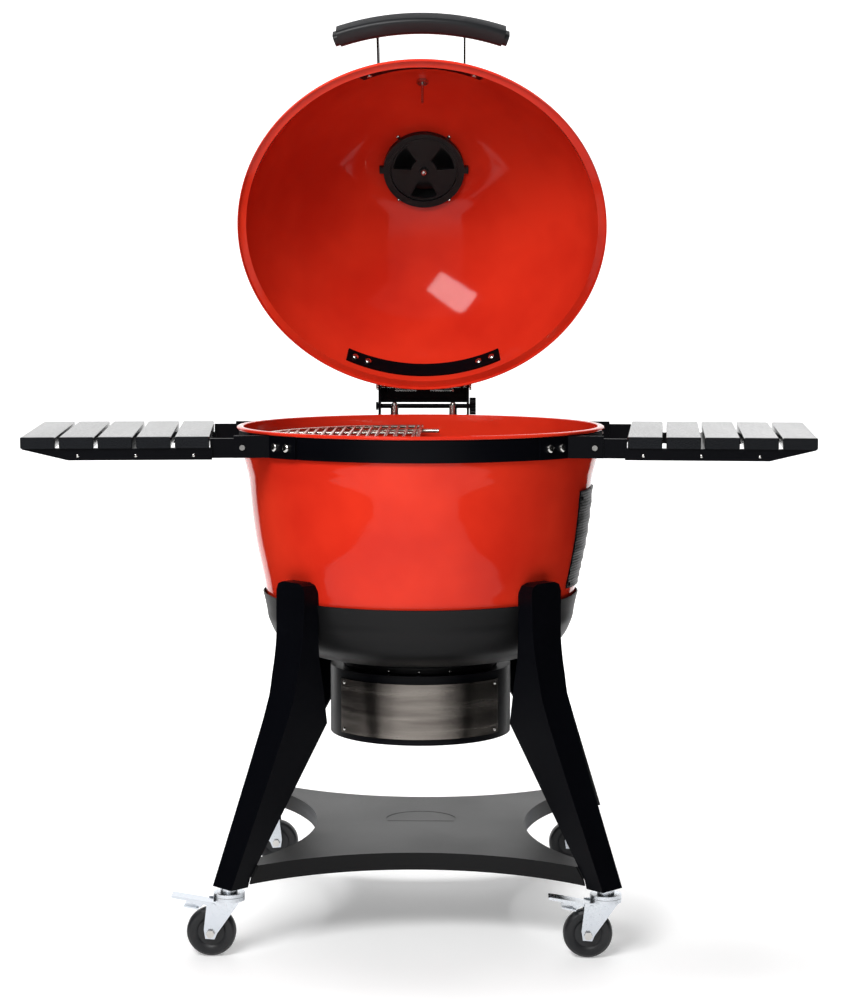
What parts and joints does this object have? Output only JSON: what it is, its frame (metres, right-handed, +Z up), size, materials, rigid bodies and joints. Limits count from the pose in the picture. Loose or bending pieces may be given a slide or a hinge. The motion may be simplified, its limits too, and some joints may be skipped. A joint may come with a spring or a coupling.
{
  "type": "kettle charcoal grill",
  "caption": "Free-standing kettle charcoal grill with hinged domed lid, side shelves that fold down, ash drawer, lid vent and a cart on swivel casters.",
  "frame": {"origin": "on the ground, in the middle of the bounding box of the grill with its lid open; the kettle axis stands 54 mm in front of it", "axes": "+X to the right as seen from the front, +Y to the back where the lid hinge is, +Z up"},
  "size_m": [1.2786, 0.7241, 1.4497],
  "materials": {
    "red_enamel": "gloss porcelain enamel",
    "black_cover": "matte heat-proof black",
    "black_coat": "satin powder coat",
    "shelf_coat": "satin powder coat",
    "slat": "satin moulded plastic",
    "handle": "satin",
    "stainless": "brushed",
    "zinc": "bright zinc plate",
    "steel": "satin",
    "grate": "bright wire",
    "iron": "matte",
    "galv": "aluminised sheet",
    "cast": "painted casting, satin",
    "tyre": "matte",
    "dial": "matte",
    "needle": "gloss"
  },
  "bodies": {
    "cart": {"kettle_bowl": "red_enamel", "lower_bowl": "black_cover", "clamp_band": "black_coat", "band_brackets": "black_coat", "cart_fasteners": "steel", "leg_front_left": "black_coat", "leg_front_right": "black_coat", "leg_rear_left": "black_coat", "leg_rear_right": "black_coat", "lower_shelf": "shelf_coat", "ash_drum": "black_coat", "side_plate": "black_coat", "hinge_base": "black_coat", "hinge_pin": "steel", "hinge_spacers": "steel", "hinge_spring": "steel", "caster_stems": "zinc"},
    "charcoal_grate": {"ember_ring": "galv", "fire_grate": "iron"},
    "drawer": {"ash_drawer": "galv", "drawer_face": "stainless", "face_rivets": "steel"},
    "rack": {"grate_rack": "grate"},
    "grate_left": {"half_grate_left": "grate"},
    "grate_right": {"half_grate_right": "grate"},
    "lid": {"lid_shell": "red_enamel", "lid_handle": "handle", "handle_brackets": "black_coat", "handle_strip": "black_coat", "hinge_strip": "black_coat", "lid_bolts": "steel", "hinge_arm": "black_coat", "vent_collar": "cast", "thermo_case": "steel", "thermo_face": "dial", "thermo_stem": "steel"},
    "vent": {"vent_disc": "cast", "vent_cap": "cast"},
    "needle": {"thermo_needle": "needle"},
    "knob": {"hinge_knob": "black_coat"},
    "shelf_left": {"shelf_left_frame": "black_coat", "shelf_left_slats": "slat", "shelf_screws_left": "steel"},
    "shelf_right": {"shelf_right_frame": "black_coat", "shelf_right_slats": "slat", "shelf_screws_right": "steel"},
    "swivel_front_left": {"fork_front_left": "zinc", "axle_front_left": "steel"},
    "roller_front_left": {"wheel_front_left": "tyre"},
    "swivel_front_right": {"fork_front_right": "zinc", "axle_front_right": "steel"},
    "roller_front_right": {"wheel_front_right": "tyre"},
    "swivel_rear_left": {"fork_rear_left": "zinc", "axle_rear_left": "steel"},
    "roller_rear_left": {"wheel_rear_left": "tyre"},
    "swivel_rear_right": {"fork_rear_right": "zinc", "axle_rear_right": "steel"},
    "roller_rear_right": {"wheel_rear_right": "tyre"},
    "brake_left": {"pedal_left": "zinc"},
    "brake_right": {"pedal_right": "zinc"}
  },
  "joints": [
    {"name": "lid_hinge", "type": "hinge", "parent": "cart", "child": "lid", "pos_m": [0, 0.271, 0.84], "axis": [1, 0, 0], "range_deg": [0, 61]},
    {"name": "drawer_slide", "type": "slide", "parent": "cart", "child": "drawer", "axis": [0, -1, 0], "range_m": [0, 0.2]},
    {"name": "charcoal_grate_lift", "type": "slide", "parent": "cart", "child": "charcoal_grate", "axis": [0, 0, 1], "range_m": [0, 0.05]},
    {"name": "rack_lift", "type": "slide", "parent": "cart", "child": "rack", "axis": [0, 0, 1], "range_m": [0, 0.03]},
    {"name": "grate_left_lift", "type": "slide", "parent": "rack", "child": "grate_left", "axis": [0, 0, 1], "range_m": [0, 0.04]},
    {"name": "grate_right_lift", "type": "slide", "parent": "rack", "child": "grate_right", "axis": [0, 0, 1], "range_m": [0, 0.05]},
    {"name": "vent_turn", "type": "hinge", "parent": "lid", "child": "vent", "pos_m": [0, 0.30585, 1.23091], "axis": [0, 0.8746, 0.4848], "range_deg": [0, 60]},
    {"name": "needle_turn", "type": "hinge", "parent": "lid", "child": "needle", "pos_m": [0, 0.13379, 1.36313], "axis": [0, 0.3473, 0.9378], "range_deg": [-270, 0]},
    {"name": "knob_turn", "type": "hinge", "parent": "cart", "child": "knob", "pos_m": [0, 0.28, 0.803], "axis": [1, 0, 0], "range_deg": [-180, 180]},
    {"name": "shelf_left_fold", "type": "hinge", "parent": "cart", "child": "shelf_left", "pos_m": [-0.2866, -0.054, 0.767], "axis": [0.0872, -0.9962, 0], "range_deg": [0, 90]},
    {"name": "shelf_right_fold", "type": "hinge", "parent": "cart", "child": "shelf_right", "pos_m": [0.2866, -0.054, 0.767], "axis": [0.0872, 0.9962, 0], "range_deg": [0, 90]},
    {"name": "swivel_front_left_turn", "type": "hinge", "parent": "cart", "child": "swivel_front_left", "pos_m": [-0.28567, -0.33967, 0.09], "axis": [0, 0, 1], "continuous": true},
    {"name": "wheel_front_left_roll", "type": "hinge", "parent": "swivel_front_left", "child": "roller_front_left", "pos_m": [-0.31267, -0.33967, 0.0375], "axis": [0, 1, 0], "continuous": true},
    {"name": "swivel_front_right_turn", "type": "hinge", "parent": "cart", "child": "swivel_front_right", "pos_m": [0.28567, -0.33967, 0.09], "axis": [0, 0, 1], "continuous": true},
    {"name": "wheel_front_right_roll", "type": "hinge", "parent": "swivel_front_right", "child": "roller_front_right", "pos_m": [0.25867, -0.33967, 0.0375], "axis": [0, 1, 0], "continuous": true},
    {"name": "swivel_rear_left_turn", "type": "hinge", "parent": "cart", "child": "swivel_rear_left", "pos_m": [-0.28567, 0.23167, 0.09], "axis": [0, 0, 1], "continuous": true},
    {"name": "wheel_rear_left_roll", "type": "hinge", "parent": "swivel_rear_left", "child": "roller_rear_left", "pos_m": [-0.25867, 0.23167, 0.0375], "axis": [0, 1, 0], "continuous": true},
    {"name": "swivel_rear_right_turn", "type": "hinge", "parent": "cart", "child": "swivel_rear_right", "pos_m": [0.28567, 0.23167, 0.09], "axis": [0, 0, 1], "continuous": true},
    {"name": "wheel_rear_right_roll", "type": "hinge", "parent": "swivel_rear_right", "child": "roller_rear_right", "pos_m": [0.25867, 0.23167, 0.0375], "axis": [0, 1, 0], "continuous": true},
    {"name": "brake_left_press", "type": "hinge", "parent": "swivel_front_left", "child": "brake_left", "pos_m": [-0.30767, -0.33967, 0.081], "axis": [0, -1, 0], "range_deg": [0, 8]},
    {"name": "brake_right_press", "type": "hinge", "parent": "swivel_front_right", "child": "brake_right", "pos_m": [0.26367, -0.33967, 0.081], "axis": [0, -1, 0], "range_deg": [0, 8]}
  ]
}
